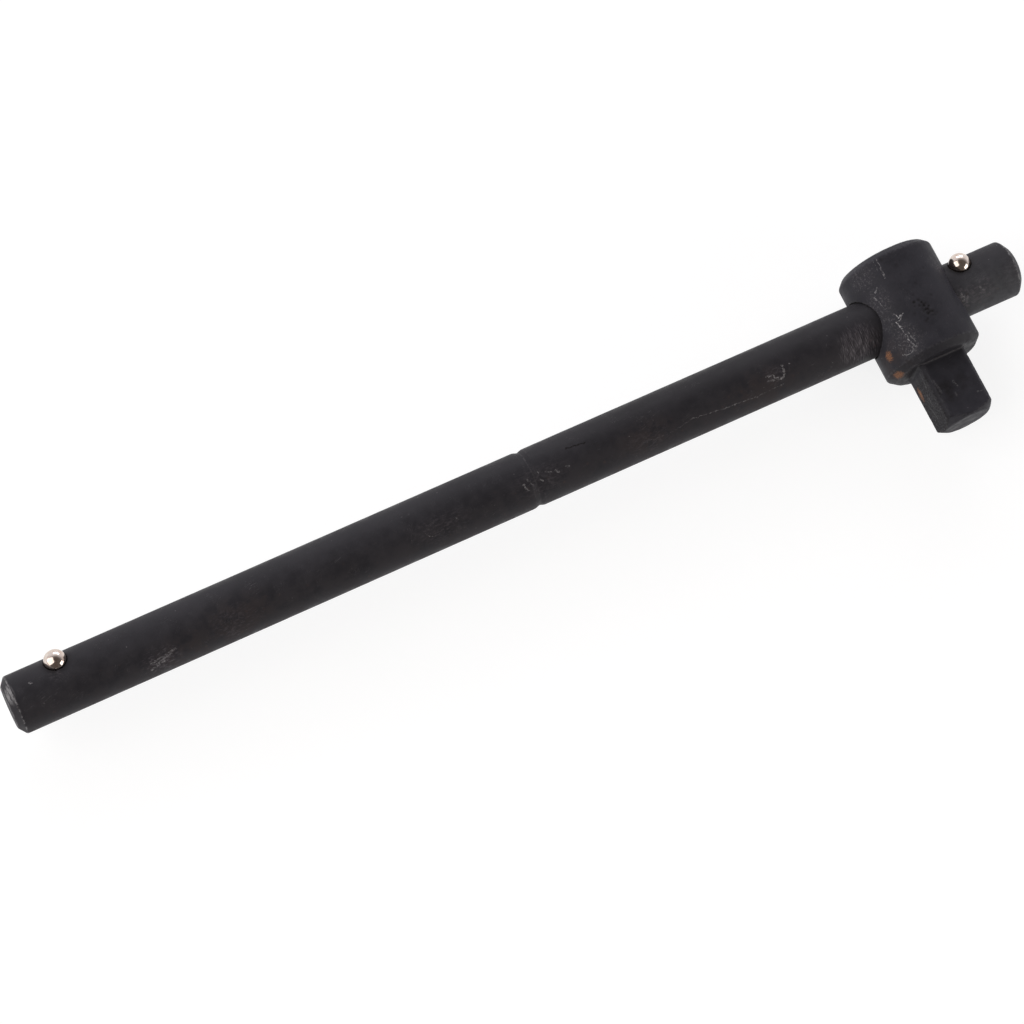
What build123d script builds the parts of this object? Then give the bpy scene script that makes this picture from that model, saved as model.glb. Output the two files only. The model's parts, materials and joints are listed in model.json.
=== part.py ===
from build123d import *
import os
from math import cos, radians, sin, sqrt, tan

# A sliding T-handle for half-inch square-drive sockets, in millimetres.
#
# Frame: the origin is on the square drive's axis, in the plane of the shoulder
# that a socket seats against. The drive points along -Y. The round handle bar
# runs along X through the head, with its long end towards -X. +Z is up, with the
# tool lying on its side on a bench.

# ---------------------------------------------------------------- driving sizes
# Handle bar
BAR_DIAMETER = 14.5
BAR_LENGTH = 270.0
BAR_STUB = 29.5               # from the drive's axis to the near end of the bar
BAR_HEIGHT = 15.0             # from the shoulder to the bar's axis, along Y
END_CHAMFER_AXIAL = 1.6
END_CHAMFER_RADIAL = 2.05
EDGE_ROUND = 0.35             # worn radius on the turned edges
GROOVE_WIDTH = 2.5            # centre groove, all the way round
GROOVE_DEPTH = 0.45
GROOVE_EDGE_ROUND = 1.0
GROOVE_BOTTOM_ROUND = 0.4

# Sliding head
HEAD_DIAMETER = 25.5
HEAD_TOP = 29.3               # top face above the shoulder
TOP_CHAMFER_AXIAL = 1.55
TOP_CHAMFER_RADIAL = 1.6
TOP_ROUND = 0.8               # worn radius on the top chamfer's edges
SHOULDER_CHAMFER_AXIAL = 1.75
SHOULDER_CHAMFER_RADIAL = 2.0
SHOULDER_ROUND = 1.0          # radius between that chamfer and the shoulder
BORE_CLEARANCE = 0.08         # radial gap between the bar and the head's bore
BORE_EDGE = 0.3

# Square drive
DRIVE_SIZE = 12.65            # across flats
DRIVE_LENGTH = 16.4
DRIVE_CORNER = 0.9            # chamfer along the four long corners
DRIVE_EDGE = 0.25             # worn radius on each chamfer's edges
DRIVE_ROOT = 0.5              # radius where the drive meets the shoulder
TIP_FLAT_RADIUS = 5.76        # turned lead-in: where the cone starts on the tip
TIP_SLOPE = 0.6               # axial length of the cone for each unit of radius
TIP_ROUND = 0.5
DRIVE_INTO_HEAD = 3.2         # how far the square runs on inside the head

# Retaining ring in the head's bore, a C of round spring wire
RING_WIRE = 1.2
RING_GRIP_CLEARANCE = 0.03
RING_GAP_ANGLE = 32.0
RING_SEAT_WIDTH = 1.6
RING_SEAT_RADIUS = 8.8

# Stop balls near the bar's ends
END_BALL_DIAMETER = 5.556
END_BALL_FROM_END = 13.85     # the head clears each ball all the way round
END_BALL_ANGLE = 38.5         # from +Z towards +Y, about the bar's axis
END_BALL_RADIUS_POS = 7.2     # ball centre from the bar's axis
END_HOLE_CLEARANCE = 0.06
END_HOLE_BOTTOM = -2.6        # hole bottom from the bar's axis, along the ball's line

# Socket-retaining ball in the drive, on the face towards -Z
DRIVE_BALL_DIAMETER = 3.969
DRIVE_BALL_PROUD = 0.95
DRIVE_BALL_FROM_SHOULDER = 8.4
DRIVE_HOLE_CLEARANCE = 0.05
DRIVE_HOLE_DEPTH = 9.2

# Helical springs under the balls
END_SPRING_WIRE = 0.5
END_SPRING_RADIUS = 2.1       # mean coil radius
END_SPRING_TURNS = 5.5
DRIVE_SPRING_WIRE = 0.4
DRIVE_SPRING_RADIUS = 1.45
DRIVE_SPRING_TURNS = 5.5
SPRING_GAP = 0.05             # gap between a spring and what it bears on

DRILL_POINT_ANGLE = 118.0
TOUCHING = 0.001              # how near an edge must be to a plane to lie in it

# ---------------------------------------------------------------- derived sizes
BAR_RADIUS = BAR_DIAMETER / 2
BAR_RIGHT = BAR_STUB
BAR_LEFT = BAR_STUB - BAR_LENGTH
BAR_MIDDLE = (BAR_LEFT + BAR_RIGHT) / 2
BORE_RADIUS = BAR_RADIUS + BORE_CLEARANCE
HEAD_RADIUS = HEAD_DIAMETER / 2
END_BALLS = {
    "left": BAR_LEFT + END_BALL_FROM_END,
    "right": BAR_RIGHT - END_BALL_FROM_END,
}


def revolved(points, radii, axis):
    """A turned solid: rounded outline from the axis and back to it, spun once."""
    outline = FilletPolyline(*points, radius=radii)
    closing = Line(points[-1], points[0])
    return revolve(make_face([outline, closing]), axis, 360)


def end_ball_plane(x):
    """Plane on the bar's axis with its normal along the ball's line."""
    angle = radians(END_BALL_ANGLE)
    return Plane(origin=(x, BAR_HEIGHT, 0), x_dir=(1, 0, 0), z_dir=(0, sin(angle), cos(angle)))


def drive_ball_plane():
    """Plane in the drive's -Z face with its normal pointing out of that face."""
    origin = (0, -DRIVE_BALL_FROM_SHOULDER, -DRIVE_SIZE / 2)
    return Plane(origin=origin, x_dir=(1, 0, 0), z_dir=(0, 0, -1))


def drilled_hole(radius, bottom, top):
    """A blind hole along +Z with a drill point below its bottom."""
    shaft = Pos(0, 0, bottom) * Cylinder(
        radius, top - bottom, align=(Align.CENTER, Align.CENTER, Align.MIN)
    )
    point_depth = radius / tan(radians(DRILL_POINT_ANGLE / 2))
    point = Pos(0, 0, bottom - point_depth) * Cone(
        0, radius, point_depth, align=(Align.CENTER, Align.CENTER, Align.MIN)
    )
    return shaft + point


def coil_spring(radius, wire, turns, bottom, top):
    """A helical compression spring along +Z that fills bottom to top."""
    height = top - bottom - wire
    path = Helix(pitch=height / turns, height=height, radius=radius)
    section = Plane(origin=path @ 0, z_dir=path % 0) * Circle(wire / 2)
    return Pos(0, 0, bottom + wire / 2) * sweep(section, path=path, is_frenet=True)


def spring_top_under(ball_centre, ball_radius, coil_radius, wire):
    """Top of a spring whose last coil cups a ball, a small gap below it."""
    reach = ball_radius + wire / 2 + SPRING_GAP
    return ball_centre - sqrt(reach**2 - coil_radius**2) + wire / 2


# ---------------------------------------------------------------- the pieces
def make_bar():
    """Turned bar: chamfered ends, a shallow centre groove and two ball holes."""
    half_groove = GROOVE_WIDTH / 2
    outline = [
        (BAR_LEFT, 0),
        (BAR_LEFT, BAR_RADIUS - END_CHAMFER_RADIAL),
        (BAR_LEFT + END_CHAMFER_AXIAL, BAR_RADIUS),
        (BAR_MIDDLE - half_groove, BAR_RADIUS),
        (BAR_MIDDLE, BAR_RADIUS - GROOVE_DEPTH),
        (BAR_MIDDLE + half_groove, BAR_RADIUS),
        (BAR_RIGHT - END_CHAMFER_AXIAL, BAR_RADIUS),
        (BAR_RIGHT, BAR_RADIUS - END_CHAMFER_RADIAL),
        (BAR_RIGHT, 0),
    ]
    groove_rounds = [GROOVE_EDGE_ROUND, GROOVE_BOTTOM_ROUND, GROOVE_EDGE_ROUND]
    rounds = [EDGE_ROUND, EDGE_ROUND, *groove_rounds, EDGE_ROUND, EDGE_ROUND]
    bar = Pos(0, BAR_HEIGHT, 0) * revolved(outline, rounds, Axis.X)
    hole_radius = END_BALL_DIAMETER / 2 + END_HOLE_CLEARANCE
    for x in END_BALLS.values():
        bar -= end_ball_plane(x) * drilled_hole(hole_radius, END_HOLE_BOTTOM, BAR_DIAMETER)
    return bar


def make_drive():
    """Square drive with chamfered corners and a turned lead-in on its tip."""
    section = Rectangle(DRIVE_SIZE, DRIVE_SIZE)
    section = chamfer(section.vertices(), DRIVE_CORNER)
    section = fillet(section.vertices(), DRIVE_EDGE)
    plane = Plane(origin=(0, DRIVE_INTO_HEAD, 0), x_dir=(1, 0, 0), z_dir=(0, -1, 0))
    prism = extrude(plane * section, DRIVE_LENGTH + DRIVE_INTO_HEAD)
    cone_radius = DRIVE_SIZE      # wider than the prism's corners
    cone_height = (cone_radius - TIP_FLAT_RADIUS) * TIP_SLOPE
    lead_in = [
        (0, -DRIVE_LENGTH),
        (TIP_FLAT_RADIUS, -DRIVE_LENGTH),
        (cone_radius, -DRIVE_LENGTH + cone_height),
        (cone_radius, DRIVE_INTO_HEAD),
        (0, DRIVE_INTO_HEAD),
    ]
    return prism & revolved(lead_in, [TIP_ROUND, TIP_ROUND, TIP_ROUND], Axis.Y)


def make_head():
    """Forged head: round body, square drive, cross bore and the ring's seat."""
    outline = [
        (0, 0),
        (HEAD_RADIUS - SHOULDER_CHAMFER_RADIAL, 0),
        (HEAD_RADIUS, SHOULDER_CHAMFER_AXIAL),
        (HEAD_RADIUS, HEAD_TOP - TOP_CHAMFER_AXIAL),
        (HEAD_RADIUS - TOP_CHAMFER_RADIAL, HEAD_TOP),
        (0, HEAD_TOP),
    ]
    body = revolved(outline, [SHOULDER_ROUND, EDGE_ROUND, TOP_ROUND, TOP_ROUND], Axis.Y)
    head = body + make_drive()
    shoulder_edges = head.edges().filter_by_position(Axis.Y, -TOUCHING, TOUCHING)
    head = fillet([edge for edge in shoulder_edges if edge.length < DRIVE_SIZE], DRIVE_ROOT)
    along_bar = Plane(origin=(0, BAR_HEIGHT, 0), z_dir=(1, 0, 0))
    head -= along_bar * Cylinder(BORE_RADIUS, 2 * HEAD_DIAMETER)
    mouths = [
        edge
        for edge in head.edges()
        if abs(edge.center().X) > BORE_RADIUS and edge.length > HEAD_TOP
    ]
    head = fillet(mouths, BORE_EDGE)
    head -= along_bar * Cylinder(RING_SEAT_RADIUS, RING_SEAT_WIDTH)
    hole_radius = DRIVE_BALL_DIAMETER / 2 + DRIVE_HOLE_CLEARANCE
    head -= drive_ball_plane() * drilled_hole(hole_radius, -DRIVE_HOLE_DEPTH, DRIVE_SIZE)
    return head


def make_detent_ring():
    """C-shaped ring of round wire that grips the bar and turns with the head."""
    centre_radius = BAR_RADIUS + RING_GRIP_CLEARANCE + RING_WIRE / 2
    section = Pos(0, centre_radius, 0) * Circle(RING_WIRE / 2)
    ring = revolve(section, Axis.X, 360 - RING_GAP_ANGLE)
    return Pos(0, BAR_HEIGHT, 0) * Rot(X=RING_GAP_ANGLE / 2) * ring


def make_end_ball(x):
    return end_ball_plane(x) * Pos(0, 0, END_BALL_RADIUS_POS) * Sphere(END_BALL_DIAMETER / 2)


def make_end_spring(x):
    top = spring_top_under(
        END_BALL_RADIUS_POS, END_BALL_DIAMETER / 2, END_SPRING_RADIUS, END_SPRING_WIRE
    )
    bottom = END_HOLE_BOTTOM + SPRING_GAP
    spring = coil_spring(END_SPRING_RADIUS, END_SPRING_WIRE, END_SPRING_TURNS, bottom, top)
    return end_ball_plane(x) * spring


def drive_ball_depth():
    """Drive ball's centre, measured outwards from the drive's face."""
    return DRIVE_BALL_PROUD - DRIVE_BALL_DIAMETER / 2


def make_drive_ball():
    return drive_ball_plane() * Pos(0, 0, drive_ball_depth()) * Sphere(DRIVE_BALL_DIAMETER / 2)


def make_drive_spring():
    top = spring_top_under(
        drive_ball_depth(), DRIVE_BALL_DIAMETER / 2, DRIVE_SPRING_RADIUS, DRIVE_SPRING_WIRE
    )
    bottom = -DRIVE_HOLE_DEPTH + SPRING_GAP
    spring = coil_spring(
        DRIVE_SPRING_RADIUS, DRIVE_SPRING_WIRE, DRIVE_SPRING_TURNS, bottom, top
    )
    return drive_ball_plane() * spring


pieces = {
    "handle_bar": make_bar(),
    "drive_head": make_head(),
    "detent_ring": make_detent_ring(),
    "drive_ball": make_drive_ball(),
    "drive_ball_spring": make_drive_spring(),
}
for side, x in END_BALLS.items():
    pieces[f"{side}_stop_ball"] = make_end_ball(x)
    pieces[f"{side}_stop_spring"] = make_end_spring(x)

os.makedirs("parts", exist_ok=True)
for name, piece in pieces.items():
    piece.label = name
    export_step(piece, f"parts/{name}.step")
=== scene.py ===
"""The looks of a black steel sliding T-handle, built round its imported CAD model. Metres, +Z up."""

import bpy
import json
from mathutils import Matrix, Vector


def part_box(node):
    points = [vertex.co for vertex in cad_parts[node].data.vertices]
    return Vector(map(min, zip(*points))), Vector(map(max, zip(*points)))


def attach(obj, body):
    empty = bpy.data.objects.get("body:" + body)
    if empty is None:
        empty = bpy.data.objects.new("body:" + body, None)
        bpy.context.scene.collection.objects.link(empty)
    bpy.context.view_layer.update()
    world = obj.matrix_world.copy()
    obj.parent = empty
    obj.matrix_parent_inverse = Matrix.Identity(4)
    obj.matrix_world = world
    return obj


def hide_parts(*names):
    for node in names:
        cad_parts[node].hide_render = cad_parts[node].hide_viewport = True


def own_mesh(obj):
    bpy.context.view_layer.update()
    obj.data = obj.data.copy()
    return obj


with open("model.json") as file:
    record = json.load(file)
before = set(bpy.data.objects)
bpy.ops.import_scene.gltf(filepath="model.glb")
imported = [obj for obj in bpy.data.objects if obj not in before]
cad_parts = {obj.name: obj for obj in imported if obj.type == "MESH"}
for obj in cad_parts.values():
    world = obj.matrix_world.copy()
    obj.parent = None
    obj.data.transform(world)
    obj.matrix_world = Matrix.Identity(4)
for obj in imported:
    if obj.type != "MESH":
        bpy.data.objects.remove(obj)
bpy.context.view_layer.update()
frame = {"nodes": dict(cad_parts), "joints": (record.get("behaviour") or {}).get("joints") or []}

import json
import math
import random

import bmesh
import bpy
import numpy as np
from mathutils import Matrix, Vector, noise

MM = 0.001

# ---------------------------------------------------------------- camera and light
CAMERA_AT = Vector((-0.27201, -0.15899, 0.73323))
CAMERA_AIM = Vector((-0.11265, 0.00917, 0.00002))
CAMERA_ROLL = math.radians(18.23)
CAMERA_LENS = 112.5
CAMERA_SENSOR = 36.0
FLOOR_SIZE = 3.0
FLOOR_GAP = 0.02 * MM
FLOOR_GLOW = 0.84              # the paper is lit from below as well, so shadows stay faint
SKY_WHITE = (0.88, 0.87, 0.90)
SKY_DIM = (0.115, 0.100, 0.090)           # the darker room behind and below the camera
SKY_DIM_TOWARDS = Vector((-0.15, -0.60, 0.79))
SKY_DIM_EDGES = (-0.10, 0.62)             # cosines where the dimming begins and is full

# name, place, size across and along, power, colour
LAMPS = [
    ("lamp_left", (-0.84, 0.12, 0.60), (0.95, 1.05), 5.8, (1.0, 0.985, 0.97)),
    ("lamp_low", (0.62, -0.76, 0.26), (0.62, 0.50), 3.6, (1.0, 0.97, 0.95)),
    ("lamp_back", (0.30, 0.86, 0.40), (0.90, 0.35), 3.0, (0.97, 0.95, 1.0)),
]
LAMP_AIM = Vector((-0.10, 0.01, 0.0))

# ---------------------------------------------------------------- sizes from the frame
bar_low, bar_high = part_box("handle_bar")
head_low, head_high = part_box("drive_head")
BAR_Y = (bar_low.y + bar_high.y) / 2
BAR_RADIUS = (bar_high.y - bar_low.y) / 2
BAR_MIDDLE = (bar_low.x + bar_high.x) / 2
HEAD_RADIUS = head_high.x
BALL_LINE = Vector(next(j["axis"] for j in frame["joints"] if j["name"] == "left_ball_press"))

# The bar's turned outline, as in the CAD model
END_CHAMFER_AXIAL = 1.6 * MM
END_CHAMFER_RADIAL = 2.05 * MM
GROOVE_WIDTH = 2.5 * MM
GROOVE_DEPTH = 0.45 * MM
EDGE_WEAR = 0.22 * MM          # how far the turned edges are rounded by wear
GROOVE_WEAR = 0.20             # the groove's edges are less worn than the ends
BALL_HOLE_FLOOR = 2.6 * MM     # how far past the bar's middle the stop balls' holes reach
BALL_HOLE_SPARE = 0.1 * MM     # the visible holes go this much deeper than the CAD's
BALL_HOLE_CLEARANCE = 0.06 * MM
BALL_HOLE_WALL = 0.12 * MM     # the wall's slope, over its whole depth
LIP_WIDTH = 0.55 * MM          # the lip pressed up round each hole
LIP_HEIGHT = 0.07 * MM

# The bar's mesh: points round it, and the distance between its rings
BAR_SEGMENTS = 192
FACE_SPACING = 0.60 * MM
EDGE_SPACING = 0.22 * MM
GROOVE_SPACING = 0.18 * MM
BALL_SPACING = 0.16 * MM
PLAIN_SPACING = 1.10 * MM
BAR_WAVE = 0.012 * MM          # unevenness of the bar's skin
BAR_NICK = 0.35 * MM           # depth of the nicks in its worn edges

# The head's mesh and the unevenness of its skin
HEAD_VOXEL = 0.25 * MM
HEAD_WAVE = 0.022 * MM
HEAD_NICK = 0.30 * MM
SHARP_EDGE = 0.10              # an edge this sharp is fully worn
DEEP_DENT = 0.16               # mm; a dent this deep is filled with dirt
STRUCK_DENTS = 40              # dents gathered in the front patch
STRUCK_PLACE = (11.2, -2.0)    # its middle, as y in mm and angle in degrees
STRUCK_SPREAD = (1.7, 4.0)
STRUCK_SLANT = 1.5             # degrees the patch leans per mm of height
STRAY_DENTS = 34               # dents scattered over the whole side

BALL_WAVES = 0.55              # cells per mm of the worn balls' unevenness
BALL_WAVE_HEIGHT = 0.014 * MM
BALL_FLAT = 0.992              # where the rubbed flat cuts a ball, as a share of its radius
BALL_SUBDIVISIONS = 5


def ball_of(node):
    """Centre and radius of a ball's CAD node."""
    low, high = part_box(node)
    return (low + high) / 2, (high.x - low.x) / 2


def on_bar(x, angle, lift=0.0):
    """A point on the bar in mm: x along it, angle in degrees from +Z towards -Y."""
    turn = math.radians(angle)
    radius = BAR_RADIUS / MM + lift
    return Vector((x, BAR_Y / MM - radius * math.sin(turn), radius * math.cos(turn)))


def on_head(y, angle, lift=0.0):
    """A point on the head's side in mm: y along its axis, angle from +Z towards +X."""
    turn = math.radians(angle)
    radius = HEAD_RADIUS / MM + lift
    return Vector((radius * math.sin(turn), y, radius * math.cos(turn)))


# ---------------------------------------------------------------- material graphs
class Graph:
    """Short names for building one material's node tree. Coordinates are in mm."""

    def __init__(self, name):
        self.material = bpy.data.materials.new(name)
        self.material.use_nodes = True
        self.tree = self.material.node_tree
        self.tree.nodes.clear()
        self.output = self.add("ShaderNodeOutputMaterial")
        self.shader = self.add("ShaderNodeBsdfPrincipled")
        self.tree.links.new(self.shader.outputs["BSDF"], self.output.inputs["Surface"])
        place = self.add("ShaderNodeTexCoord").outputs["Object"]
        self.place = self.vector("SCALE", place, scale=1 / MM)

    def add(self, kind, **settings):
        node = self.tree.nodes.new(kind)
        for key, value in settings.items():
            setattr(node, key, value)
        return node

    def feed(self, socket, value):
        if isinstance(value, bpy.types.NodeSocket):
            self.tree.links.new(value, socket)
        elif value is not None:
            socket.default_value = value

    def vector(self, operation, a, b=None, scale=None):
        node = self.add("ShaderNodeVectorMath", operation=operation)
        self.feed(node.inputs[0], a)
        if b is not None:
            self.feed(node.inputs[1], b)
        if scale is not None:
            self.feed(node.inputs["Scale"], scale)
        single = operation in ("LENGTH", "DISTANCE", "DOT_PRODUCT")
        return node.outputs["Value" if single else "Vector"]

    def math(self, operation, a, b=None, clamp=False):
        node = self.add("ShaderNodeMath", operation=operation, use_clamp=clamp)
        self.feed(node.inputs[0], a)
        self.feed(node.inputs[1], b)
        return node.outputs[0]

    def times(self, *values):
        total = values[0]
        for value in values[1:]:
            total = self.math("MULTIPLY", total, value)
        return total

    def most(self, *values):
        total = values[0]
        for value in values[1:]:
            total = self.math("MAXIMUM", total, value)
        return total

    def step(self, value, low, high, out_low=0.0, out_high=1.0):
        """value mapped smoothly from low..high to out_low..out_high, and held beyond."""
        node = self.add("ShaderNodeMapRange", interpolation_type="SMOOTHSTEP", clamp=True)
        self.feed(node.inputs["Value"], value)
        self.feed(node.inputs["From Min"], low)
        self.feed(node.inputs["From Max"], high)
        self.feed(node.inputs["To Min"], out_low)
        self.feed(node.inputs["To Max"], out_high)
        return node.outputs["Result"]

    def noise(self, scale, detail=2.0, rough=0.5, stretch=(1, 1, 1), place=None, warp=0.0):
        """Noise of about 0..1. scale is in cells per mm; stretch scales each axis."""
        place = place or self.place
        if tuple(stretch) != (1, 1, 1):
            place = self.vector("MULTIPLY", place, stretch)
        node = self.add("ShaderNodeTexNoise")
        self.feed(node.inputs["Vector"], place)
        self.feed(node.inputs["Scale"], scale)
        self.feed(node.inputs["Detail"], detail)
        self.feed(node.inputs["Roughness"], rough)
        self.feed(node.inputs["Distortion"], warp)
        return node.outputs["Fac"]

    def cells(self, scale):
        """Distance to the nearest of a set of scattered points, with scale points per mm."""
        node = self.add("ShaderNodeTexVoronoi", feature="F1")
        self.feed(node.inputs["Vector"], self.place)
        self.feed(node.inputs["Scale"], scale)
        return node.outputs["Distance"]

    def blend(self, factor, a, b):
        """Colour a where factor is 0 and b where it is 1."""
        node = self.add("ShaderNodeMix", data_type="RGBA")
        self.feed(node.inputs["Factor"], factor)
        self.feed(node.inputs["A"], (*a, 1.0) if isinstance(a, tuple) else a)
        self.feed(node.inputs["B"], (*b, 1.0) if isinstance(b, tuple) else b)
        return node.outputs["Result"]

    def attribute(self, name):
        return self.add("ShaderNodeAttribute", attribute_name=name).outputs["Fac"]

    def blob(self, centre, size, edge):
        """1 inside an ellipsoid about centre, fading to 0 over a share edge of its size."""
        offset = self.vector("SUBTRACT", self.place, tuple(centre))
        scaled = self.vector("DIVIDE", offset, tuple(size))
        return self.step(self.vector("LENGTH", scaled), 1.0 - edge, 1.0 + edge, 1.0, 0.0)

    def stroke(self, start, end, width, place):
        """1 on a straight stroke from start to end, fading to 0 at width from it."""
        run = end - start
        if run.length < 1e-6:
            distance = self.vector("DISTANCE", place, tuple(start))
        else:
            offset = self.vector("SUBTRACT", place, tuple(start))
            share = self.vector("DOT_PRODUCT", offset, tuple(run / run.length_squared))
            share = self.math("MULTIPLY", share, 1.0, clamp=True)
            nearest = self.vector("SCALE", tuple(run), scale=share)
            distance = self.vector("DISTANCE", offset, nearest)
        return self.step(distance, 0.35 * width, width, 1.0, 0.0)

    def path(self, points, width, place):
        """Strokes from each point to the next."""
        strokes = [self.stroke(a, b, width, place) for a, b in zip(points, points[1:])]
        return self.most(*strokes)

    def bump(self, height, distance):
        """Bump whose height is in units of distance, a length in metres."""
        node = self.add("ShaderNodeBump")
        self.feed(node.inputs["Height"], height)
        self.feed(node.inputs["Distance"], distance)
        node.inputs["Strength"].default_value = 1.0
        return node.outputs["Normal"]

    def finish(self, **sockets):
        for name, value in sockets.items():
            self.feed(self.shader.inputs[name.replace("_", " ").title()], value)
        return self.material


# Colours, as linear light
BAR_TONES = ((0.0245, 0.0231, 0.0266), (0.0355, 0.0337, 0.0384))
HEAD_TONES = ((0.0258, 0.0250, 0.0302), (0.0362, 0.0350, 0.0422))
# also the painted warm tint of reflected light on the bar's lower side
BROWN_FILM_AND_PAINTED_TINT = (0.0390, 0.0322, 0.0328)
RUBBED = (0.116, 0.104, 0.115)
DUST = (0.096, 0.098, 0.106)
# also the painted shade round the balls' holes, the bore's mouth and the head's shoulder
GRIME_AND_SHADE = (0.0115, 0.0100, 0.0098)
BARE_STEEL = (0.30, 0.29, 0.295)
RUST = (0.330, 0.165, 0.090)
RUST_DARK = (0.120, 0.048, 0.026)


def fine_scratches(g, seed, direction, density):
    """Hairline scratches running along a direction, broken up at random."""
    along = Vector(direction).normalized()
    turn = along.rotation_difference(Vector((1, 0, 0))).to_euler()
    node = g.add("ShaderNodeMapping")
    g.feed(node.inputs["Vector"], g.place)
    node.inputs["Rotation"].default_value = turn
    node.inputs["Location"].default_value = (seed * 3.7, seed * 1.9, seed * 5.3)
    lines = g.noise(2.6, 1.0, 0.5, (0.05, 1.0, 1.0), node.outputs["Vector"], warp=0.25)
    thin = g.step(g.math("ABSOLUTE", g.math("SUBTRACT", lines, 0.5)), 0.0, 0.012, 1.0, 0.0)
    breaks = g.noise(0.22, 2.0, 0.6, place=node.outputs["Vector"])
    return g.times(thin, g.step(breaks, 1.0 - density, 1.08 - density))


def shaken(g, scale, reach):
    """The surface's place moved about by noise, so that drawn strokes are not straight."""
    node = g.add("ShaderNodeTexNoise")
    g.feed(node.inputs["Vector"], g.place)
    node.inputs["Scale"].default_value = scale
    centred = g.vector("SUBTRACT", node.outputs["Color"], (0.5, 0.5, 0.5))
    return g.vector("ADD", g.place, g.vector("SCALE", centred, scale=reach))


def phosphate(name, tones, masks, rings, wear_shine):
    """Matte black phosphate on steel: crystal grain, mottle, worn edges, marks and rust.

    masks is a function of the graph that returns the piece's own masks. rings is the
    strength of the lathe's fine tool marks, wear_shine that of the worn edges.
    """
    g = Graph(name)
    own = masks(g)
    grain = g.noise(5.5, 3.0, 0.65)
    mottle = g.noise(0.30, 5.0, 0.62)
    patch = g.noise(0.075, 2.0, 0.5)
    tone = g.math("ADD", g.times(grain, 0.30), g.times(mottle, 0.45))
    tone = g.math("ADD", tone, g.times(patch, 0.25))
    colour = g.blend(g.step(tone, 0.36, 0.64), *tones)
    # The film mask also paints a warm tint of reflected light on the bar's lower side
    colour = g.blend(g.times(own["film_and_painted_tint"], g.step(mottle, 0.36, 0.60)), colour, BROWN_FILM_AND_PAINTED_TINT)
    # The grime mask also paints shade round the ball holes, the bore's mouth and the shoulder
    colour = g.blend(own["grime_and_shade"], colour, GRIME_AND_SHADE)
    colour = g.blend(own["dust"], colour, DUST)
    colour = g.blend(own["rub"], colour, RUBBED)

    hairs = g.most(
        g.times(fine_scratches(g, 1.0, (1.0, 0.25, 0.1), 0.42), 0.16),
        g.times(fine_scratches(g, 2.0, (0.35, 1.0, 0.4), 0.40), 0.16),
        g.times(fine_scratches(g, 3.0, (-0.6, 0.5, 1.0), 0.38), 0.12),
    )
    specks = g.times(g.step(g.cells(0.55), 0.04, 0.10, 1.0, 0.0), g.step(mottle, 0.52, 0.62), 0.30)
    worn = g.times(g.attribute("wear"), g.step(g.noise(1.1, 4.0, 0.7), 0.42, 0.60), wear_shine)
    bare = g.math("MINIMUM", g.most(hairs, specks, own["bare"], worn), 1.0)
    colour = g.blend(bare, colour, BARE_STEEL)
    rust_tone = g.blend(g.step(grain, 0.35, 0.62), RUST_DARK, RUST)
    colour = g.blend(own["rust"], colour, rust_tone)

    lathe = g.times(g.noise(3.2, 2.0, 0.5, (1.0, 0.04, 0.04)), rings)
    relief = g.math("ADD", g.times(grain, 0.7), g.times(g.noise(1.7, 3.0, 0.6), 0.6))
    normal = g.bump(g.math("ADD", relief, lathe), 0.014 * MM)
    roughness = g.step(mottle, 0.32, 0.68, 0.44, 0.64)
    roughness = g.math("SUBTRACT", roughness, g.times(bare, 0.20))
    matte = g.most(g.times(own["rust"], 0.85), g.times(own["grime_and_shade"], 1.3))
    roughness = g.math("MAXIMUM", roughness, g.math("MINIMUM", matte, 0.95))
    g.shader.inputs["Specular IOR Level"].default_value = 0.10
    return g.finish(
        base_color=colour, metallic=g.times(bare, 0.6), roughness=roughness, normal=normal
    )


# ---------------------------------------------------------------- wear on the bar
# Strokes as points (x, angle), their width in mm and their brightness
BAR_STROKES = [
    ([(-37.7, 10), (-37.8, 22), (-38.2, 32), (-39.0, 33), (-40.2, 29)], 0.42, 1.0),
    ([(-40.2, 29), (-41.1, 21), (-42.6, 18)], 0.36, 0.8),
    ([(-40.8, 31), (-42.4, 27)], 0.30, 0.5),
    ([(-64, 34.5), (-54, 43), (-46, 48)], 0.20, 0.42),
    ([(-46, 48), (-38.6, 45)], 0.16, 0.22),
    ([(-77, 40), (-71, 44), (-64, 35.5)], 0.16, 0.16),
    ([(-206.8, 47), (-200.0, 37)], 0.34, 0.52),
    ([(-205.6, 52), (-201.5, 44)], 0.34, 0.44),
    ([(-207.2, 60), (-203.6, 52)], 0.36, 0.58),
    ([(-135.2, 30), (-134.4, 38), (-133.0, 42)], 0.16, 0.5),
    ([(-127.2, 22), (-126.6, 30)], 0.18, 0.5),
    ([(-108.6, 20), (-108.0, 34)], 0.28, 0.55),
    ([(-107.3, 14), (-106.3, 32)], 0.24, 0.45),
    ([(-104.3, 6), (-104.1, 11)], 0.22, 0.60),
    ([(-104.5, 21), (-103.9, 28)], 0.32, 0.70),
    ([(-102.4, 14), (-101.2, 17)], 0.22, 0.40),
    ([(-100.2, 20), (-99.4, 24)], 0.30, 0.65),
    ([(-97.2, 19), (-96.4, 22)], 0.26, 0.55),
    ([(-36.0, 12), (-35.8, 13)], 0.24, 0.8),
    ([(-234.2, -13), (-233.8, -12)], 0.34, 0.8),
    ([(12.0, 24), (12.4, 32), (12.0, 38)], 0.60, 0.34),
    ([(13.3, 34), (12.9, 44)], 0.50, 0.30),
    ([(17.2, 26), (18.0, 35)], 0.45, 0.32),
]
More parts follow.
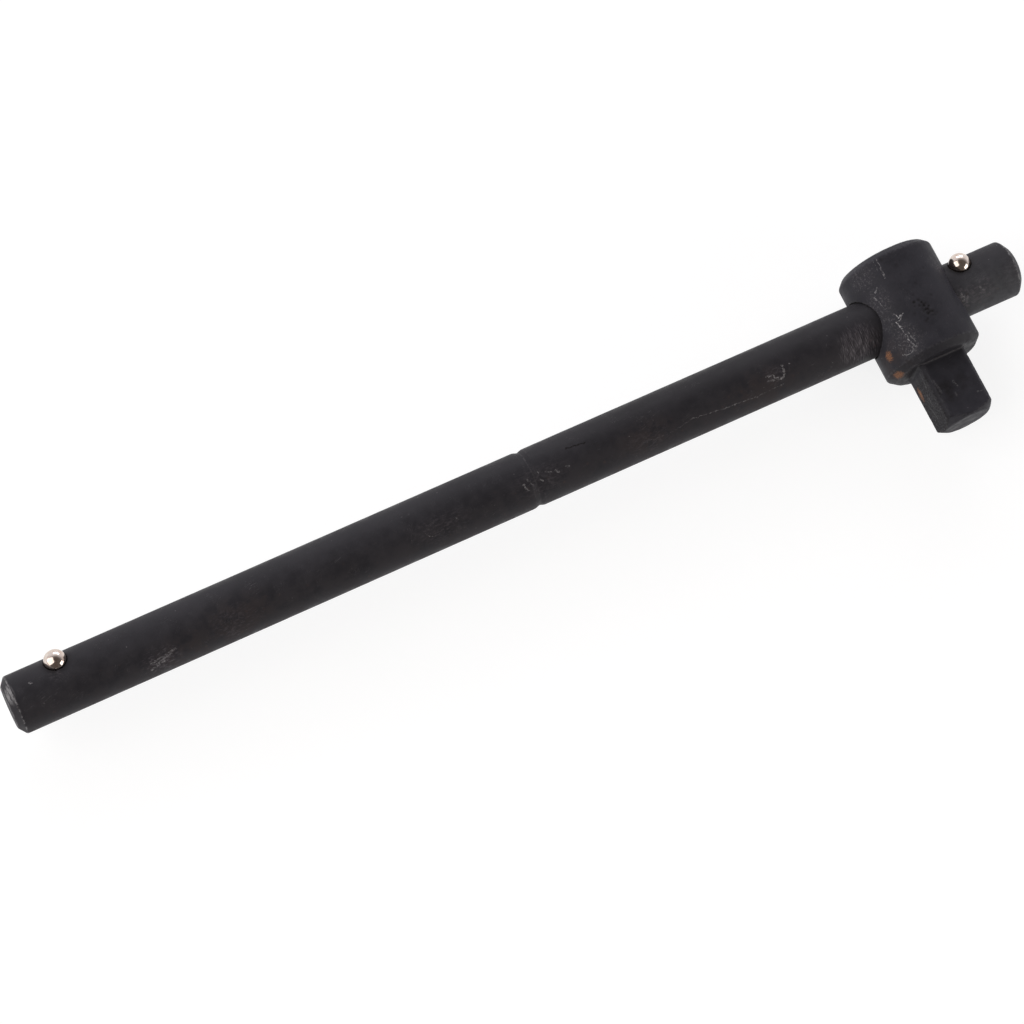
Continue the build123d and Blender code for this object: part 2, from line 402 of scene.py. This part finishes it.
# Rubbed or scuffed patches as (x, angle), their size along X, Y and Z and their strength
BAR_SCUFFS = [
    ((12.8, 36), (2.6, 3.0, 2.6), 1.4),
    ((17.6, 32), (3.0, 2.8, 2.6), 1.25),
    ((26.4, 28), (2.0, 3.8, 3.6), 0.7),
    ((-204.0, 50), (4.0, 3.0, 3.2), 1.2),
    ((-228.0, -8), (1.5, 1.5, 1.4), 0.5),
    ((-104.5, 25), (6.0, 3.4, 3.0), 0.5),
    ((-131.0, 30), (6.5, 3.0, 3.0), 0.45),
    ((-40.2, 22), (2.6, 2.2, 2.4), 0.6),
    ((-185.5, 40), (4.5, 4.0, 4.0), 0.45),
    ((-76.0, 40), (5.0, 3.4, 3.4), 0.40),
]
# Brown patches and a darker stretch as (x, angle) and their size
BAR_BROWN = [
    ((-184.0, 37), (10.0, 5.0, 5.0)),
    ((-198.0, 52), (7.0, 4.0, 5.0)),
    ((-76.0, 33), (8.0, 4.0, 4.0)),
    ((-45.0, 40), (9.0, 5.0, 5.0)),
]
BAR_SHADE = ((-55.0, -34), (34.0, 5.0, 4.5))
HEAD_RUB = ((-17.2, 37), (4.8, 4.4, 4.0))
STUB_DUST = ((21.0, 42), (11.0, 6.0, 7.5))
END_GLINT = ((-239.5, -12), (1.1, 2.2, 1.7))
DARK_SCORE = ([(-95.5, -12), (-90.4, -7)], 0.30)


def bar_masks(g):
    breaks = g.step(g.noise(2.3, 3.0, 0.7), 0.42, 0.58)
    place = shaken(g, 1.1, 1.0)
    strokes = [
        g.times(g.path([on_bar(*p) for p in points], width, place), strength)
        for points, width, strength in BAR_STROKES
    ]
    scuffed = g.step(g.noise(1.5, 5.0, 0.75, (0.6, 1.2, 1.2)), 0.47, 0.62)
    scuffs = g.most(*[
        g.times(g.blob(on_bar(*spot), size, 0.6), strength)
        for spot, size, strength in BAR_SCUFFS
    ])
    # The head's bore rubs round the bar; the end's chamfer is rubbed bright
    round_lines = g.noise(1.6, 3.0, 0.65, (2.4, 0.30, 0.30), warp=0.3)
    bore_rub = g.blob(on_bar(*HEAD_RUB[0]), HEAD_RUB[1], 0.55)
    glint = g.blob(on_bar(*END_GLINT[0], -0.9), END_GLINT[1], 0.5)
    dusted = g.step(g.noise(0.55, 4.0, 0.6), -0.2, 0.9)
    dust = g.times(g.blob(on_bar(*STUB_DUST[0]), STUB_DUST[1], 0.6), dusted, 0.66)
    rub = g.most(
        g.times(scuffs, scuffed, 0.55),
        g.times(bore_rub, g.step(round_lines, 0.36, 0.64), 0.80),
    )
    bare = g.most(
        g.times(g.most(*strokes), breaks),
        g.times(bore_rub, g.step(round_lines, 0.58, 0.68), 0.45),
        g.times(glint, g.step(round_lines, 0.36, 0.60), 0.72),
    )
    axes = g.add("ShaderNodeSeparateXYZ")
    g.feed(axes.inputs[0], g.place)
    below = g.step(axes.outputs["Y"], BAR_Y / MM - 6.5, BAR_Y / MM + 1.5, 1.0, 0.0)
    off_stub = g.step(axes.outputs["X"], -12.0, 8.0, 1.0, 0.0)
    brown = g.most(*[g.blob(on_bar(*spot), size, 0.6) for spot, size in BAR_BROWN])
    # Painted warm tint of reflected light on the bar's lower side, off the stub, with real brown
    # stains
    film_and_painted_tint = g.most(g.times(below, off_stub, 0.30), g.times(brown, 0.75))
    # One dark score, a darker stretch, and painted shade round each ball's hole
    grime_and_shade = g.times(g.path([on_bar(*p) for p in DARK_SCORE[0]], DARK_SCORE[1], place), 0.8)
    grime_and_shade = g.most(grime_and_shade, g.times(g.blob(on_bar(*BAR_SHADE[0]), BAR_SHADE[1], 0.7), 0.30))
    for node in ("left_stop_ball", "right_stop_ball"):
        centre, radius = ball_of(node)
        size = Vector((1, 1, 1)) * (radius / MM + 0.75)
        grime_and_shade = g.most(grime_and_shade, g.times(g.blob(centre / MM, size, 0.25), 0.5))
    freckles = g.times(g.step(g.cells(0.35), 0.05, 0.20, 1.0, 0.0), below, 0.05)
    return {
        "film_and_painted_tint": film_and_painted_tint,
        "grime_and_shade": grime_and_shade,
        "dust": dust,
        "rub": rub,
        "bare": bare,
        "rust": freckles,
    }


# ---------------------------------------------------------------- wear on the head
# Strokes as points (y, angle), their width in mm and their brightness
HEAD_STROKES = [
    ([(27.9, -24), (25.5, -24), (22.4, -25)], 0.21, 0.55),
    ([(28.2, -28), (25.9, -28), (24.8, -28)], 0.15, 0.30),
    ([(21.2, -38), (20.5, -43)], 0.22, 0.55),
    ([(20.0, -48), (18.6, -45)], 0.22, 0.55),
    ([(17.8, -44), (17.0, -43)], 0.20, 0.55),
    ([(13.4, -35), (12.0, -33), (12.5, -26)], 0.20, 0.80),
    ([(12.3, -27), (11.3, -33), (11.4, -38)], 0.19, 0.70),
    ([(11.4, -38), (10.4, -36), (8.9, -35)], 0.22, 0.85),
    ([(8.4, -35), (7.1, -34), (6.0, -35), (4.5, -32), (3.4, -31)], 0.26, 0.66),
    ([(8.0, -31), (6.2, -30), (4.9, -28)], 0.18, 0.50),
    ([(3.6, -49), (2.8, -42), (3.0, -36), (4.0, -34)], 0.22, 0.50),
]
HEAD_SCUFFS = [
    ((25.4, -50), (3.4, 3.0, 3.8), 0.60),
    ((17.5, -45), (3.2, 3.6, 2.8), 0.70),
    ((12.5, -46), (2.4, 2.6, 2.4), 0.50),
    ((6.0, -36), (3.2, 4.4, 3.0), 0.75),
    ((21.0, 45), (2.6, 2.6, 2.6), 0.40),
    ((7.2, -56), (2.0, 1.6, 2.0), 0.50),
]
# Strokes on the drive's front and left faces as places in mm, width and brightness
DRIVE_FRONT = 6.325
DRIVE_STROKES = [
    ([(-0.6, -7.0, DRIVE_FRONT), (-0.3, -8.6, DRIVE_FRONT)], 0.34, 0.20),
    ([(-1.6, -9.8, DRIVE_FRONT), (-1.6, -10.6, DRIVE_FRONT)], 0.34, 0.16),
    ([(-5.0, -5.0, DRIVE_FRONT), (-4.7, -8.4, DRIVE_FRONT)], 0.40, 0.16),
    ([(3.6, -11.8, DRIVE_FRONT), (4.9, -12.2, DRIVE_FRONT)], 0.30, 0.20),
    ([(-DRIVE_FRONT, -1.6, 3.6), (-DRIVE_FRONT, -5.2, 2.8)], 0.50, 0.16),
    ([(-DRIVE_FRONT, -6.8, 0.8), (-DRIVE_FRONT, -10.0, 1.2)], 0.55, 0.14),
    ([(-DRIVE_FRONT, -9.4, -1.4), (-DRIVE_FRONT, -12.6, -0.4)], 0.55, 0.14),
]
DRIVE_SMUDGES = [
    (Vector((-3.4, -8.0, DRIVE_FRONT)), (2.6, 2.0, 1.0), 0.60),
    (Vector((-2.6, -10.4, DRIVE_FRONT)), (2.4, 1.4, 1.0), 0.50),
    (Vector((1.8, -8.2, DRIVE_FRONT)), (2.8, 2.2, 1.0), 0.42),
]
# how much the drive's left face is darkened
DRIVE_LEFT_DARKENING = 0.95
# Rust as a place in mm and its size along X, Y and Z
HEAD_RUST = [
    (on_head(5.4, -67), (1.2, 1.5, 1.5)),
    (Vector((-11.0, 0.4, 2.8)), (1.5, 1.5, 2.2)),
    (Vector((-DRIVE_FRONT, -4.9, -2.9)), (0.8, 2.0, 1.2)),
]
SHOULDER_TOP = 1.75            # the shoulder's chamfer ends this far up the head's side
BORE_EDGE = 7.45               # painted shade round the bore's mouth, mm from its axis
# the painted highlight line round the drive's root lies this far outside its faces, in mm
ROOT_LINE_FROM_FACE = 0.28


def head_masks(g):
    place = shaken(g, 1.6, 0.8)
    breaks = g.step(g.noise(2.8, 3.0, 0.7), 0.42, 0.56)
    strokes = [
        g.times(g.path([on_head(*p) for p in points], width, place), strength)
        for points, width, strength in HEAD_STROKES
    ]
    strokes += [
        g.times(g.path([Vector(p) for p in points], width, place), strength)
        for points, width, strength in DRIVE_STROKES
    ]
    scuffed = g.step(g.noise(1.9, 5.0, 0.75), 0.48, 0.64)
    scuffs = g.most(*[
        g.times(g.blob(on_head(*spot), size, 0.6), strength)
        for spot, size, strength in HEAD_SCUFFS
    ])
    axes = g.add("ShaderNodeSeparateXYZ")
    g.feed(axes.inputs[0], g.place)
    x, y, z = (axes.outputs[name] for name in "XYZ")
    # A thin painted highlight line round the drive's root; painted shade on the shoulder above it
    square = g.most(g.math("ABSOLUTE", x), g.math("ABSOLUTE", z))
    from_line = g.math("SUBTRACT", square, DRIVE_FRONT + ROOT_LINE_FROM_FACE)
    root_highlight = g.step(g.math("ABSOLUTE", from_line), 0.08, 0.34, 1.0, 0.0)
    root_highlight = g.times(
        root_highlight, g.step(g.math("ABSOLUTE", y), 0.3, 0.6, 1.0, 0.0), g.step(z, 5.6, 6.2)
    )
    # Painted shade on the shoulder's chamfer
    shoulder_shade = g.times(
        g.step(y, SHOULDER_TOP - 0.35, SHOULDER_TOP, 1.0, 0.0), g.step(y, -0.5, -0.2)
    )
    pits = g.attribute("pit")
    # Painted shade round the bore's mouth
    from_bore = g.vector("LENGTH", g.vector(
        "MULTIPLY", g.vector("SUBTRACT", g.place, (0, BAR_Y / MM, 0)), (0, 1, 1)
    ))
    bore_mouth_shade = g.step(from_bore, BORE_EDGE, BORE_EDGE + 0.35, 1.0, 0.0)
    smudges = [
        g.times(g.blob(spot, size, 0.6), strength) for spot, size, strength in DRIVE_SMUDGES
    ]
    smudged = g.times(g.most(*smudges), g.step(g.noise(0.5, 4.0, 0.6), 0.30, 0.66))
    # The drive's left face is darkened
    side = g.times(
        g.step(x, -DRIVE_FRONT + 0.05, -DRIVE_FRONT + 0.9, 1.0, 0.0), g.step(y, -3.5, -0.5, 1.0, 0.0)
    )
    side = g.times(side, g.step(scuffed, -0.8, 1.2, 1.0, 0.0), DRIVE_LEFT_DARKENING)
    grime_and_shade = g.most(
        g.times(shoulder_shade, 0.30), g.times(pits, 0.85), g.times(bore_mouth_shade, 0.85), smudged, side
    )

    halo = g.times(g.blob(on_head(3.0, -64), (5.0, 5.0, 6.5), 0.6), 0.6)
    ragged = g.times(g.math("SUBTRACT", g.noise(2.1, 5.0, 0.8), 0.5), 3.6)
    rust = g.most(*[g.blob(spot, size, 0.8) for spot, size in HEAD_RUST])
    rust = g.times(g.step(g.math("ADD", rust, g.times(ragged, rust)), 0.34, 1.15), 0.88)
    bare = g.most(
        g.times(g.most(*strokes), breaks),
        g.times(scuffs, g.step(breaks, 0.2, 0.9), scuffed, 0.35),
        g.times(root_highlight, g.step(breaks, -0.6, 0.8), 0.15),
    )
    return {
        "film_and_painted_tint": halo,
        "grime_and_shade": grime_and_shade,
        "dust": 0.0,
        "rub": g.times(scuffs, g.math("ADD", g.times(scuffed, 0.32), 0.10)),
        "bare": bare,
        "rust": rust,
    }


# ---------------------------------------------------------------- other metals
def ball_steel():
    """Polished bearing steel, a little tarnished, with hairline scratches."""
    g = Graph("ball_steel")
    tarnish = g.noise(0.9, 4.0, 0.6)
    colour = g.blend(g.step(tarnish, 0.35, 0.7), (0.74, 0.66, 0.60), (0.60, 0.47, 0.40))
    hairs = g.most(
        fine_scratches(g, 4.0, (0.2, 1.0, 0.3), 0.45), fine_scratches(g, 5.0, (1.0, 0.1, 0.6), 0.45)
    )
    roughness = g.math("ADD", g.step(tarnish, 0.3, 0.8, 0.10, 0.20), g.times(hairs, 0.1))
    normal = g.bump(hairs, 0.002 * MM)
    return g.finish(base_color=colour, metallic=1.0, roughness=roughness, normal=normal)


def spring_steel():
    """Drawn wire: grey, oiled, with faint lines along it and darker patches."""
    g = Graph("spring_steel")
    patches = g.noise(1.2, 4.0, 0.6)
    colour = g.blend(g.step(patches, 0.3, 0.7), (0.30, 0.29, 0.28), (0.16, 0.15, 0.14))
    roughness = g.step(patches, 0.3, 0.7, 0.28, 0.42)
    normal = g.bump(g.noise(9.0, 2.0), 0.004 * MM)
    return g.finish(base_color=colour, metallic=1.0, roughness=roughness, normal=normal)


def floor_paper():
    """Pale seamless paper with a very faint fibre."""
    g = Graph("floor_paper")
    fibre = g.noise(0.5, 4.0, 0.6)
    colour = g.blend(fibre, (0.23, 0.23, 0.23), (0.25, 0.25, 0.25))
    g.shader.inputs["Specular IOR Level"].default_value = 0.1
    g.shader.inputs["Roughness"].default_value = 0.9
    g.shader.inputs["Emission Color"].default_value = (1.0, 1.0, 1.0, 1.0)
    g.shader.inputs["Emission Strength"].default_value = FLOOR_GLOW
    return g.finish(base_color=colour)


# ---------------------------------------------------------------- meshes
def new_piece(name, verts, faces, body, material):
    """A smooth-shaded mesh object that rides on a body."""
    mesh = bpy.data.meshes.new(name)
    mesh.from_pydata([tuple(v) for v in verts], [], faces)
    mesh.update()
    mesh.shade_smooth()
    piece = bpy.data.objects.new(name, mesh)
    bpy.context.scene.collection.objects.link(piece)
    piece.data.materials.append(material)
    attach(piece, body)
    return piece


def set_attribute(piece, name, values):
    layer = piece.data.attributes.new(name, "FLOAT", "POINT")
    layer.data.foreach_set("value", np.asarray(values, np.float32))


def noise_at(points, scale, seed, octaves=3):
    """Fractal noise of about -1..1 at each point, with scale cells per mm."""
    offset = Vector((seed * 17.3, seed * 5.1, seed * 9.7))
    return np.array([
        noise.fractal(Vector(p) / MM * scale + offset, 1.0, 2.0, octaves) for p in points
    ])


def turned_outline():
    """The bar's outline from centre to centre as dense points (x, radius), edges worn."""
    half = GROOVE_WIDTH / 2
    left, right = bar_low.x, bar_high.x
    corners = [
        (left, 0.0),
        (left, BAR_RADIUS - END_CHAMFER_RADIAL),
        (left + END_CHAMFER_AXIAL, BAR_RADIUS),
        (BAR_MIDDLE - half, BAR_RADIUS),
        (BAR_MIDDLE, BAR_RADIUS - GROOVE_DEPTH),
        (BAR_MIDDLE + half, BAR_RADIUS),
        (right - END_CHAMFER_AXIAL, BAR_RADIUS),
        (right, BAR_RADIUS - END_CHAMFER_RADIAL),
        (right, 0.0),
    ]
    fine = 0.05 * MM
    runs = []
    for (x0, r0), (x1, r1) in zip(corners, corners[1:]):
        steps = max(2, round(math.hypot(x1 - x0, r1 - r0) / fine))
        share = np.arange(steps) / steps
        runs.append(np.c_[x0 + (x1 - x0) * share, r0 + (r1 - r0) * share])
    dense = np.vstack(runs + [[corners[-1]]])
    reach = round(3 * EDGE_WEAR / fine)
    weights = np.exp(-0.5 * (np.arange(-reach, reach + 1) * fine / EDGE_WEAR) ** 2)
    weights /= weights.sum()
    padded = np.pad(dense, ((reach, reach), (0, 0)), mode="reflect", reflect_type="odd")
    worn = np.stack([np.convolve(padded[:, k], weights, "valid") for k in (0, 1)], axis=1)
    return dense, worn


def bar_spacing(x, radius):
    """Distance to the next ring of the bar's mesh: close where there is detail."""
    if radius < BAR_RADIUS - 0.02 * MM:
        return EDGE_SPACING if radius > 4.0 * MM else FACE_SPACING
    if min(x - bar_low.x, bar_high.x - x) < END_CHAMFER_AXIAL + 1.0 * MM:
        return EDGE_SPACING
    if abs(x - BAR_MIDDLE) < GROOVE_WIDTH / 2 + 0.8 * MM:
        return GROOVE_SPACING
    for node in ("left_stop_ball", "right_stop_ball"):
        centre, radius_of_ball = ball_of(node)
        if abs(x - centre.x) < radius_of_ball + 1.3 * MM:
            return BALL_SPACING
    return PLAIN_SPACING


def bar_rings():
    """Rings (x, radius, wear) along the bar. Wear is how far the edge was rounded."""
    dense, worn = turned_outline()
    travel = np.r_[0, np.cumsum(np.hypot(*np.diff(worn, axis=0).T))]
    rounded = np.hypot(*(worn - dense).T)
    rings = []
    at = 0.0
    while at < travel[-1]:
        x = float(np.interp(at, travel, worn[:, 0]))
        radius = float(np.interp(at, travel, worn[:, 1]))
        wear = float(np.interp(at, travel, rounded)) / (0.4 * EDGE_WEAR)
        if abs(x - BAR_MIDDLE) < GROOVE_WIDTH:
            wear *= GROOVE_WEAR
        if radius > 0.05 * MM:
            rings.append((x, radius, wear))
        at += bar_spacing(x, radius)
    return np.array(rings)


def sink_ball_holes(points):
    """Pushes the mesh down inside each ball's hole and raises a thin lip round it."""
    line = np.array(BALL_LINE)
    depth = BAR_RADIUS + BALL_HOLE_FLOOR + BALL_HOLE_SPARE
    for node in ("left_stop_ball", "right_stop_ball"):
        centre, radius = ball_of(node)
        offset = points - np.array(centre)
        along = offset @ line
        outer = along > -BAR_RADIUS * 0.9
        rho = np.linalg.norm(offset - along[:, None] * line, axis=1)
        edge = radius + BALL_HOLE_CLEARANCE
        inside = np.clip((edge - rho) / BALL_HOLE_WALL, 0, 1) * outer
        ring = np.clip(1 - np.abs(rho - edge - 0.3 * LIP_WIDTH) / LIP_WIDTH, 0, 1) * outer
        ring *= (rho > edge)
        points -= (inside * depth)[:, None] * line
        points += (ring * LIP_HEIGHT)[:, None] * line
    return points


def make_bar():
    """The bar's visible surface: turned, phosphated, nicked at its edges."""
    rings = bar_rings()
    turns = np.arange(BAR_SEGMENTS) * 2 * math.pi / BAR_SEGMENTS
    points = []
    wear = []
    for x, radius, worn in rings:
        points.append(np.c_[
            np.full(BAR_SEGMENTS, x), BAR_Y - radius * np.sin(turns), radius * np.cos(turns)
        ])
        wear.append(np.full(BAR_SEGMENTS, worn))
    points = np.vstack(points)
    wear = np.concatenate(wear)
    # Nicks bite into the worn edges; the rest only waves by a hundredth of a millimetre
    outward = points * [0, 1, 1] - [0, BAR_Y, 0]
    outward /= np.linalg.norm(outward, axis=1)[:, None]
    wave = noise_at(points, 0.35, 1.0, 2)
    nick = np.clip(noise_at(points, 0.9, 2.0, 3) - 0.25, 0, 1)
    points += outward * (wave * BAR_WAVE - nick * np.clip(wear, 0, 1) * BAR_NICK)[:, None]
    points = sink_ball_holes(points)

    faces = []
    count = len(rings)
    for i in range(count - 1):
        for j in range(BAR_SEGMENTS):
            k = (j + 1) % BAR_SEGMENTS
            row, after = i * BAR_SEGMENTS, (i + 1) * BAR_SEGMENTS
            faces.append((row + j, row + k, after + k, after + j))
    first = len(points)
    points = np.vstack([points, [bar_low.x, BAR_Y, 0], [bar_high.x, BAR_Y, 0]])
    wear = np.r_[wear, 0, 0]
    last_row = (count - 1) * BAR_SEGMENTS
    for j in range(BAR_SEGMENTS):
        k = (j + 1) % BAR_SEGMENTS
        faces.append((first, k, j))
        faces.append((first + 1, last_row + j, last_row + k))
    material = phosphate("bar_phosphate", BAR_TONES, bar_masks, 0.5, 1.0)
    piece = new_piece("bar_surface", points, faces, "bar", material)
    set_attribute(piece, "wear", np.clip(wear, 0, 1))
    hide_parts("handle_bar")


def apply_modifiers(piece):
    """Swaps a piece's mesh for its mesh with all modifiers applied."""
    bpy.context.view_layer.update()
    evaluated = piece.evaluated_get(bpy.context.evaluated_depsgraph_get())
    mesh = bpy.data.meshes.new_from_object(evaluated)
    old = piece.data
    piece.modifiers.clear()
    piece.data = mesh
    bpy.data.meshes.remove(old)


def edge_sharpness(mesh):
    """How far each point stands out from its neighbours, per edge length: 0 on flats."""
    count = len(mesh.vertices)
    points = np.empty(count * 3)
    mesh.vertices.foreach_get("co", points)
    points = points.reshape(-1, 3)
    normals = np.empty(count * 3)
    mesh.vertices.foreach_get("normal", normals)
    normals = normals.reshape(-1, 3)
    edges = np.empty(len(mesh.edges) * 2, int)
    mesh.edges.foreach_get("vertices", edges)
    a, b = edges.reshape(-1, 2).T
    total = np.zeros((count, 3))
    degree = np.zeros(count)
    for here, there in ((a, b), (b, a)):
        np.add.at(total, here, points[there] - points[here])
        np.add.at(degree, here, 1)
    inward = total / degree[:, None]
    return -(inward * normals).sum(1) / HEAD_VOXEL, points, normals


def make_head():
    """The head's visible surface: forged skin, worn rims, and a patch of small dents."""
    source = frame["nodes"]["drive_head"]
    mesh = source.data.copy()
    mesh.name = "head_surface"
    mesh.materials.clear()
    work = bmesh.new()
    work.from_mesh(mesh)
    bmesh.ops.remove_doubles(work, verts=work.verts, dist=0.002 * MM)
    work.to_mesh(mesh)
    work.free()
    piece = bpy.data.objects.new("head_surface", mesh)
    bpy.context.scene.collection.objects.link(piece)
    remesh = piece.modifiers.new("even_grid", "REMESH")
    remesh.mode = "VOXEL"
    remesh.voxel_size = HEAD_VOXEL
    remesh.use_smooth_shade = True
    relax = piece.modifiers.new("relax", "SMOOTH")
    relax.factor = 0.5
    relax.iterations = 3
    apply_modifiers(piece)
    mesh = piece.data

    sharp, points, normals = edge_sharpness(mesh)
    wear = np.clip(sharp / SHARP_EDGE, 0, 1)
    skin = noise_at(points, 0.45, 3.0, 4)
    nick = np.clip(noise_at(points, 0.8, 4.0, 3) - 0.2, 0, 1)
    shift = skin * HEAD_WAVE - nick * wear * HEAD_NICK
    pit = np.zeros(len(points))
    for centre, size, depth in small_dents():
        distance = np.linalg.norm(points / MM - np.array(centre), axis=1) / size
        dent = np.clip(1 - distance**2, 0, 1)
        shift -= dent * depth * MM
        pit = np.maximum(pit, dent * min(1.0, depth / DEEP_DENT))
    # The bore keeps its size
    in_bore = np.hypot(points[:, 1] - BAR_Y, points[:, 2]) < BAR_RADIUS + 0.4 * MM
    shift[in_bore] = 0
    points += normals * shift[:, None]
    mesh.vertices.foreach_set("co", points.ravel())
    mesh.update()
    mesh.shade_smooth()
    material = phosphate("head_phosphate", HEAD_TONES, head_masks, 0.12, 0.13)
    mesh.materials.clear()
    mesh.materials.append(material)
    set_attribute(piece, "wear", wear)
    set_attribute(piece, "pit", pit)
    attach(piece, "head")
    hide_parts("drive_head")


def small_dents():
    """Pits and knocks in the head's front, as (centre in mm, radius in mm, depth in mm)."""
    draw = random.Random(7)
    middle, turned = STRUCK_PLACE
    height, width = STRUCK_SPREAD
    dents = []
    for _ in range(STRUCK_DENTS):
        y = draw.gauss(middle, height)
        angle = draw.gauss(turned, width) - (y - middle) * STRUCK_SLANT
        dents.append((on_head(y, angle), draw.uniform(0.25, 0.60), draw.uniform(0.05, 0.18)))
    for _ in range(STRAY_DENTS):
        y = draw.uniform(1.5, 28.0)
        angle = draw.uniform(-180, 180)
        dents.append((on_head(y, angle), draw.uniform(0.3, 0.8), draw.uniform(0.02, 0.07)))
    return dents


def make_ball(node, body, material):
    """A fine polished sphere with a small flat rubbed on its crown."""
    centre, radius = ball_of(node)
    crown = -Vector((0, 0, 1)) if node == "drive_ball" else BALL_LINE
    work = bmesh.new()
    bmesh.ops.create_icosphere(work, subdivisions=BALL_SUBDIVISIONS, radius=radius)
    flat = radius * BALL_FLAT
    for vert in work.verts:
        wave = noise.fractal(vert.co / MM * BALL_WAVES + Vector((3.1, 0, 0)), 1.0, 2.0, 2)
        vert.co += vert.co.normalized() * (wave * BALL_WAVE_HEIGHT)
        over = vert.co.dot(crown) - flat
        if over > 0:
            vert.co -= crown * over
        vert.co += centre
    mesh = bpy.data.meshes.new(node + "_polished")
    work.to_mesh(mesh)
    work.free()
    mesh.shade_smooth()
    piece = bpy.data.objects.new(node + "_polished", mesh)
    bpy.context.scene.collection.objects.link(piece)
    mesh.materials.append(material)
    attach(piece, body)
    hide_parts(node)


def make_spring(node, body, material):
    """The spring's CAD coil, smooth-shaded in wire steel, riding on its body."""
    source = frame["nodes"][node]
    mesh = source.data.copy()
    mesh.transform(source.matrix_world)
    mesh.shade_smooth()
    mesh.materials.clear()
    mesh.materials.append(material)
    piece = bpy.data.objects.new(node + "_coil", mesh)
    bpy.context.scene.collection.objects.link(piece)
    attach(piece, body)
    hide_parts(node)
    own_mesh(piece)


def make_springs(material):
    """The coils under the two stop balls and the drive's ball."""
    for side in ("left", "right"):
        make_spring(side + "_stop_spring", "bar", material)
    make_spring("drive_ball_spring", "head",
                material)


def dress_detent_ring(material):
    """The hidden ring keeps its CAD shape and gets real wire steel."""
    mesh = frame["nodes"]["detent_ring"].data
    mesh.shade_smooth()
    mesh.materials.clear()
    mesh.materials.append(material)


# ---------------------------------------------------------------- stage
def make_floor():
    z = head_low.z - FLOOR_GAP
    half = FLOOR_SIZE / 2
    corners = [(-half, -half, z), (half, -half, z), (half, half, z), (-half, half, z)]
    mesh = bpy.data.meshes.new("floor")
    mesh.from_pydata(corners, [], [(0, 1, 2, 3)])
    floor = bpy.data.objects.new("floor", mesh)
    bpy.context.scene.collection.objects.link(floor)
    mesh.materials.append(floor_paper())


def make_lamps():
    for name, place, size, power, colour in LAMPS:
        lamp = bpy.data.lights.new(name, "AREA")
        lamp.shape = "RECTANGLE"
        lamp.size, lamp.size_y = size
        lamp.energy = power
        lamp.color = colour
        holder = bpy.data.objects.new(name, lamp)
        holder.location = place
        holder.rotation_euler = (LAMP_AIM - Vector(place)).to_track_quat("-Z", "Y").to_euler()
        bpy.context.scene.collection.objects.link(holder)


def make_world():
    """White all round, falling off to a dim room behind the camera."""
    world = bpy.data.worlds.new("studio")
    world.use_nodes = True
    tree = world.node_tree
    back = tree.nodes["Background"]
    direction = tree.nodes.new("ShaderNodeTexCoord").outputs["Generated"]
    facing = tree.nodes.new("ShaderNodeVectorMath")
    facing.operation = "DOT_PRODUCT"
    facing.inputs[1].default_value = SKY_DIM_TOWARDS.normalized()
    tree.links.new(direction, facing.inputs[0])
    ramp = tree.nodes.new("ShaderNodeMapRange")
    ramp.interpolation_type = "SMOOTHSTEP"
    ramp.inputs["From Min"].default_value = SKY_DIM_EDGES[0]
    ramp.inputs["From Max"].default_value = SKY_DIM_EDGES[1]
    tree.links.new(facing.outputs["Value"], ramp.inputs["Value"])
    mix = tree.nodes.new("ShaderNodeMix")
    mix.data_type = "RGBA"
    mix.inputs["A"].default_value = (*SKY_WHITE, 1.0)
    mix.inputs["B"].default_value = (*SKY_DIM, 1.0)
    tree.links.new(ramp.outputs["Result"], mix.inputs["Factor"])
    tree.links.new(mix.outputs["Result"], back.inputs["Color"])
    bpy.context.scene.world = world


def make_camera():
    data = bpy.data.cameras.new("camera")
    data.lens = CAMERA_LENS
    data.sensor_width = CAMERA_SENSOR
    data.clip_start = 0.01
    data.clip_end = 20.0
    camera = bpy.data.objects.new("camera", data)
    look = (CAMERA_AIM - CAMERA_AT).to_track_quat("-Z", "Y").to_matrix().to_4x4()
    roll = Matrix.Rotation(CAMERA_ROLL, 4, "Z")
    camera.matrix_world = Matrix.Translation(CAMERA_AT) @ look @ roll
    bpy.context.scene.collection.objects.link(camera)
    bpy.context.scene.camera = camera


make_camera()
make_world()
make_lamps()
make_floor()
bpy.context.scene.view_settings.view_transform = "Standard"

make_bar()
make_head()
polished = ball_steel()
make_ball("left_stop_ball", "left_ball", polished)
make_ball("right_stop_ball", "right_ball", polished)
make_ball("drive_ball", "drive_ball", polished)
wire = spring_steel()
make_springs(wire)
dress_detent_ring(wire)
